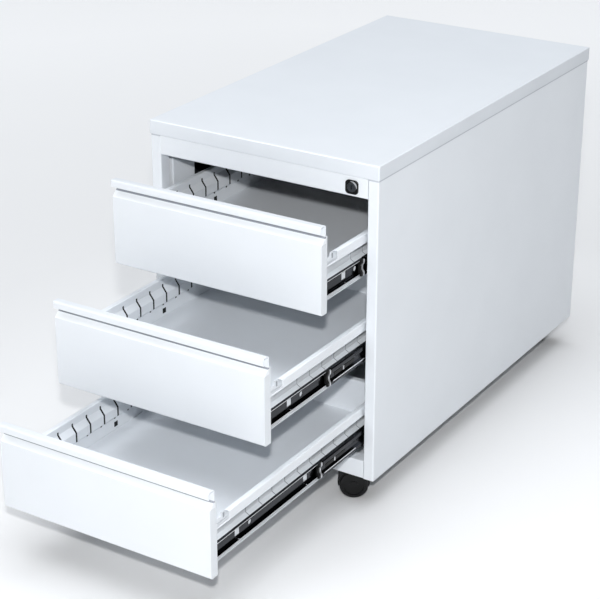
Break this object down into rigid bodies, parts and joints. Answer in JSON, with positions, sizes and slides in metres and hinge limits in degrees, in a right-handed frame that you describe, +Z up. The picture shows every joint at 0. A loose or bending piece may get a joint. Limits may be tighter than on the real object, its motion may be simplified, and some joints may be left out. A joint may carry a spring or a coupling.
{
  "type": "metal filing cabinet",
  "caption": "White powder-coated steel mobile drawer pedestal with full-width lipped drawers on ball-bearing slides, a cam lock and twin-wheel castors.",
  "frame": {"origin": "on the floor, under the centre of the cabinet body's footprint", "axes": "+X to the cabinet's right as its front is faced, -Y out of the drawer fronts, +Z up"},
  "size_m": [0.433, 1.2151, 0.6],
  "materials": {
    "powder_coat": "white powder coat, fine texture",
    "slide_steel": "dark plated, glossy",
    "retainer_plastic": "black moulded",
    "zinc_screw": "zinc plated",
    "zinc_plate": "zinc plated",
    "lock_black": "black moulded",
    "lock_chrome": "polished",
    "guide_plastic": "natural nylon",
    "castor_black": "black moulded",
    "castor_tyre": "hard black wheel"
  },
  "bodies": {
    "cabinet": {"side_panel_left": "powder_coat", "side_panel_right": "powder_coat", "back_panel": "powder_coat", "bottom_pan": "powder_coat", "top_cover": "powder_coat", "top_rail": "powder_coat", "bottom_rail": "powder_coat", "front_uprights": "powder_coat", "rear_uprights": "powder_coat", "back_screws": "zinc_screw", "castor_plates": "zinc_plate", "lock_housing": "lock_black", "lock_bar_guides": "guide_plastic", "drawer_1_outer_slides": "slide_steel", "drawer_2_outer_slides": "slide_steel", "drawer_3_outer_slides": "slide_steel"},
    "lock_cylinder": {"lock_barrel": "lock_chrome", "lock_cam": "zinc_plate"},
    "lock_bar_slider": {"lock_bar": "zinc_plate"},
    "drawer_1_middle": {"drawer_1_middle_slides": "slide_steel", "drawer_1_ball_retainers": "retainer_plastic"},
    "drawer_1": {"drawer_1_front": "powder_coat", "drawer_1_backplate": "powder_coat", "drawer_1_side_left": "powder_coat", "drawer_1_side_right": "powder_coat", "drawer_1_floor": "powder_coat", "drawer_1_back": "powder_coat", "drawer_1_inner_slides": "slide_steel"},
    "drawer_2_middle": {"drawer_2_middle_slides": "slide_steel", "drawer_2_ball_retainers": "retainer_plastic"},
    "drawer_2": {"drawer_2_front": "powder_coat", "drawer_2_backplate": "powder_coat", "drawer_2_side_left": "powder_coat", "drawer_2_side_right": "powder_coat", "drawer_2_floor": "powder_coat", "drawer_2_back": "powder_coat", "drawer_2_inner_slides": "slide_steel"},
    "drawer_3_middle": {"drawer_3_middle_slides": "slide_steel", "drawer_3_ball_retainers": "retainer_plastic"},
    "drawer_3": {"drawer_3_front": "powder_coat", "drawer_3_backplate": "powder_coat", "drawer_3_side_left": "powder_coat", "drawer_3_side_right": "powder_coat", "drawer_3_floor": "powder_coat", "drawer_3_back": "powder_coat", "drawer_3_inner_slides": "slide_steel"},
    "castor_1_swivel": {"castor_1_hood": "castor_black"},
    "castor_1_roller": {"castor_1_wheels": "castor_tyre"},
    "castor_2_swivel": {"castor_2_hood": "castor_black"},
    "castor_2_roller": {"castor_2_wheels": "castor_tyre"},
    "castor_3_swivel": {"castor_3_hood": "castor_black"},
    "castor_3_roller": {"castor_3_wheels": "castor_tyre"},
    "castor_4_swivel": {"castor_4_hood": "castor_black"},
    "castor_4_roller": {"castor_4_wheels": "castor_tyre"}
  },
  "joints": [
    {"name": "drawer_1_slide", "type": "slide", "parent": "cabinet", "child": "drawer_1", "axis": [0, -1, 0], "range_m": [-0.132, 0.368]},
    {"name": "drawer_1_middle_slide", "type": "slide", "parent": "cabinet", "child": "drawer_1_middle", "axis": [0, -1, 0], "range_m": [-0.066, 0.184]},
    {"name": "drawer_2_slide", "type": "slide", "parent": "cabinet", "child": "drawer_2", "axis": [0, -1, 0], "range_m": [-0.288, 0.212]},
    {"name": "drawer_2_middle_slide", "type": "slide", "parent": "cabinet", "child": "drawer_2_middle", "axis": [0, -1, 0], "range_m": [-0.144, 0.106]},
    {"name": "drawer_3_slide", "type": "slide", "parent": "cabinet", "child": "drawer_3", "axis": [0, -1, 0], "range_m": [-0.431, 0.069]},
    {"name": "drawer_3_middle_slide", "type": "slide", "parent": "cabinet", "child": "drawer_3_middle", "axis": [0, -1, 0], "range_m": [-0.2155, 0.0345]},
    {"name": "lock_turn", "type": "hinge", "parent": "cabinet", "child": "lock_cylinder", "pos_m": [0.168, -0.39, 0.558], "axis": [0, 1, 0], "range_deg": [-90, 0]},
    {"name": "lock_bar_slide", "type": "slide", "parent": "cabinet", "child": "lock_bar_slider", "axis": [0, 0, -1], "range_m": [0, 0.00566]},
    {"name": "castor_1_swivel_turn", "type": "hinge", "parent": "cabinet", "child": "castor_1_swivel", "pos_m": [0.174, -0.35, 0.05], "axis": [0, 0, 1], "continuous": true},
    {"name": "castor_1_roll", "type": "hinge", "parent": "castor_1_swivel", "child": "castor_1_roller", "pos_m": [0.16014, -0.358, 0.024], "axis": [0.5, -0.866, 0], "continuous": true},
    {"name": "castor_2_swivel_turn", "type": "hinge", "parent": "cabinet", "child": "castor_2_swivel", "pos_m": [-0.174, -0.35, 0.05], "axis": [0, 0, 1], "continuous": true},
    {"name": "castor_2_roll", "type": "hinge", "parent": "castor_2_swivel", "child": "castor_2_roller", "pos_m": [-0.166, -0.33614, 0.024], "axis": [-0.866, 0.5, 0], "continuous": true},
    {"name": "castor_3_swivel_turn", "type": "hinge", "parent": "cabinet", "child": "castor_3_swivel", "pos_m": [0.135, 0.35, 0.05], "axis": [0, 0, 1], "continuous": true},
    {"name": "castor_3_roll", "type": "hinge", "parent": "castor_3_swivel", "child": "castor_3_roller", "pos_m": [0.119, 0.35, 0.024], "axis": [0, -1, 0], "continuous": true},
    {"name": "castor_4_swivel_turn", "type": "hinge", "parent": "cabinet", "child": "castor_4_swivel", "pos_m": [-0.135, 0.35, 0.05], "axis": [0, 0, 1], "continuous": true},
    {"name": "castor_4_roll", "type": "hinge", "parent": "castor_4_swivel", "child": "castor_4_roller", "pos_m": [-0.119, 0.35, 0.024], "axis": [0, 1, 0], "continuous": true}
  ],
  "couplings": [
    {"joint": "drawer_1_middle_slide", "follows": "drawer_1_slide", "ratio": 0.5},
    {"joint": "drawer_2_middle_slide", "follows": "drawer_2_slide", "ratio": 0.5},
    {"joint": "drawer_3_middle_slide", "follows": "drawer_3_slide", "ratio": 0.5},
    {"joint": "lock_turn", "follows": "lock_bar_slide", "rad_per_m": -277.68}
  ]
}
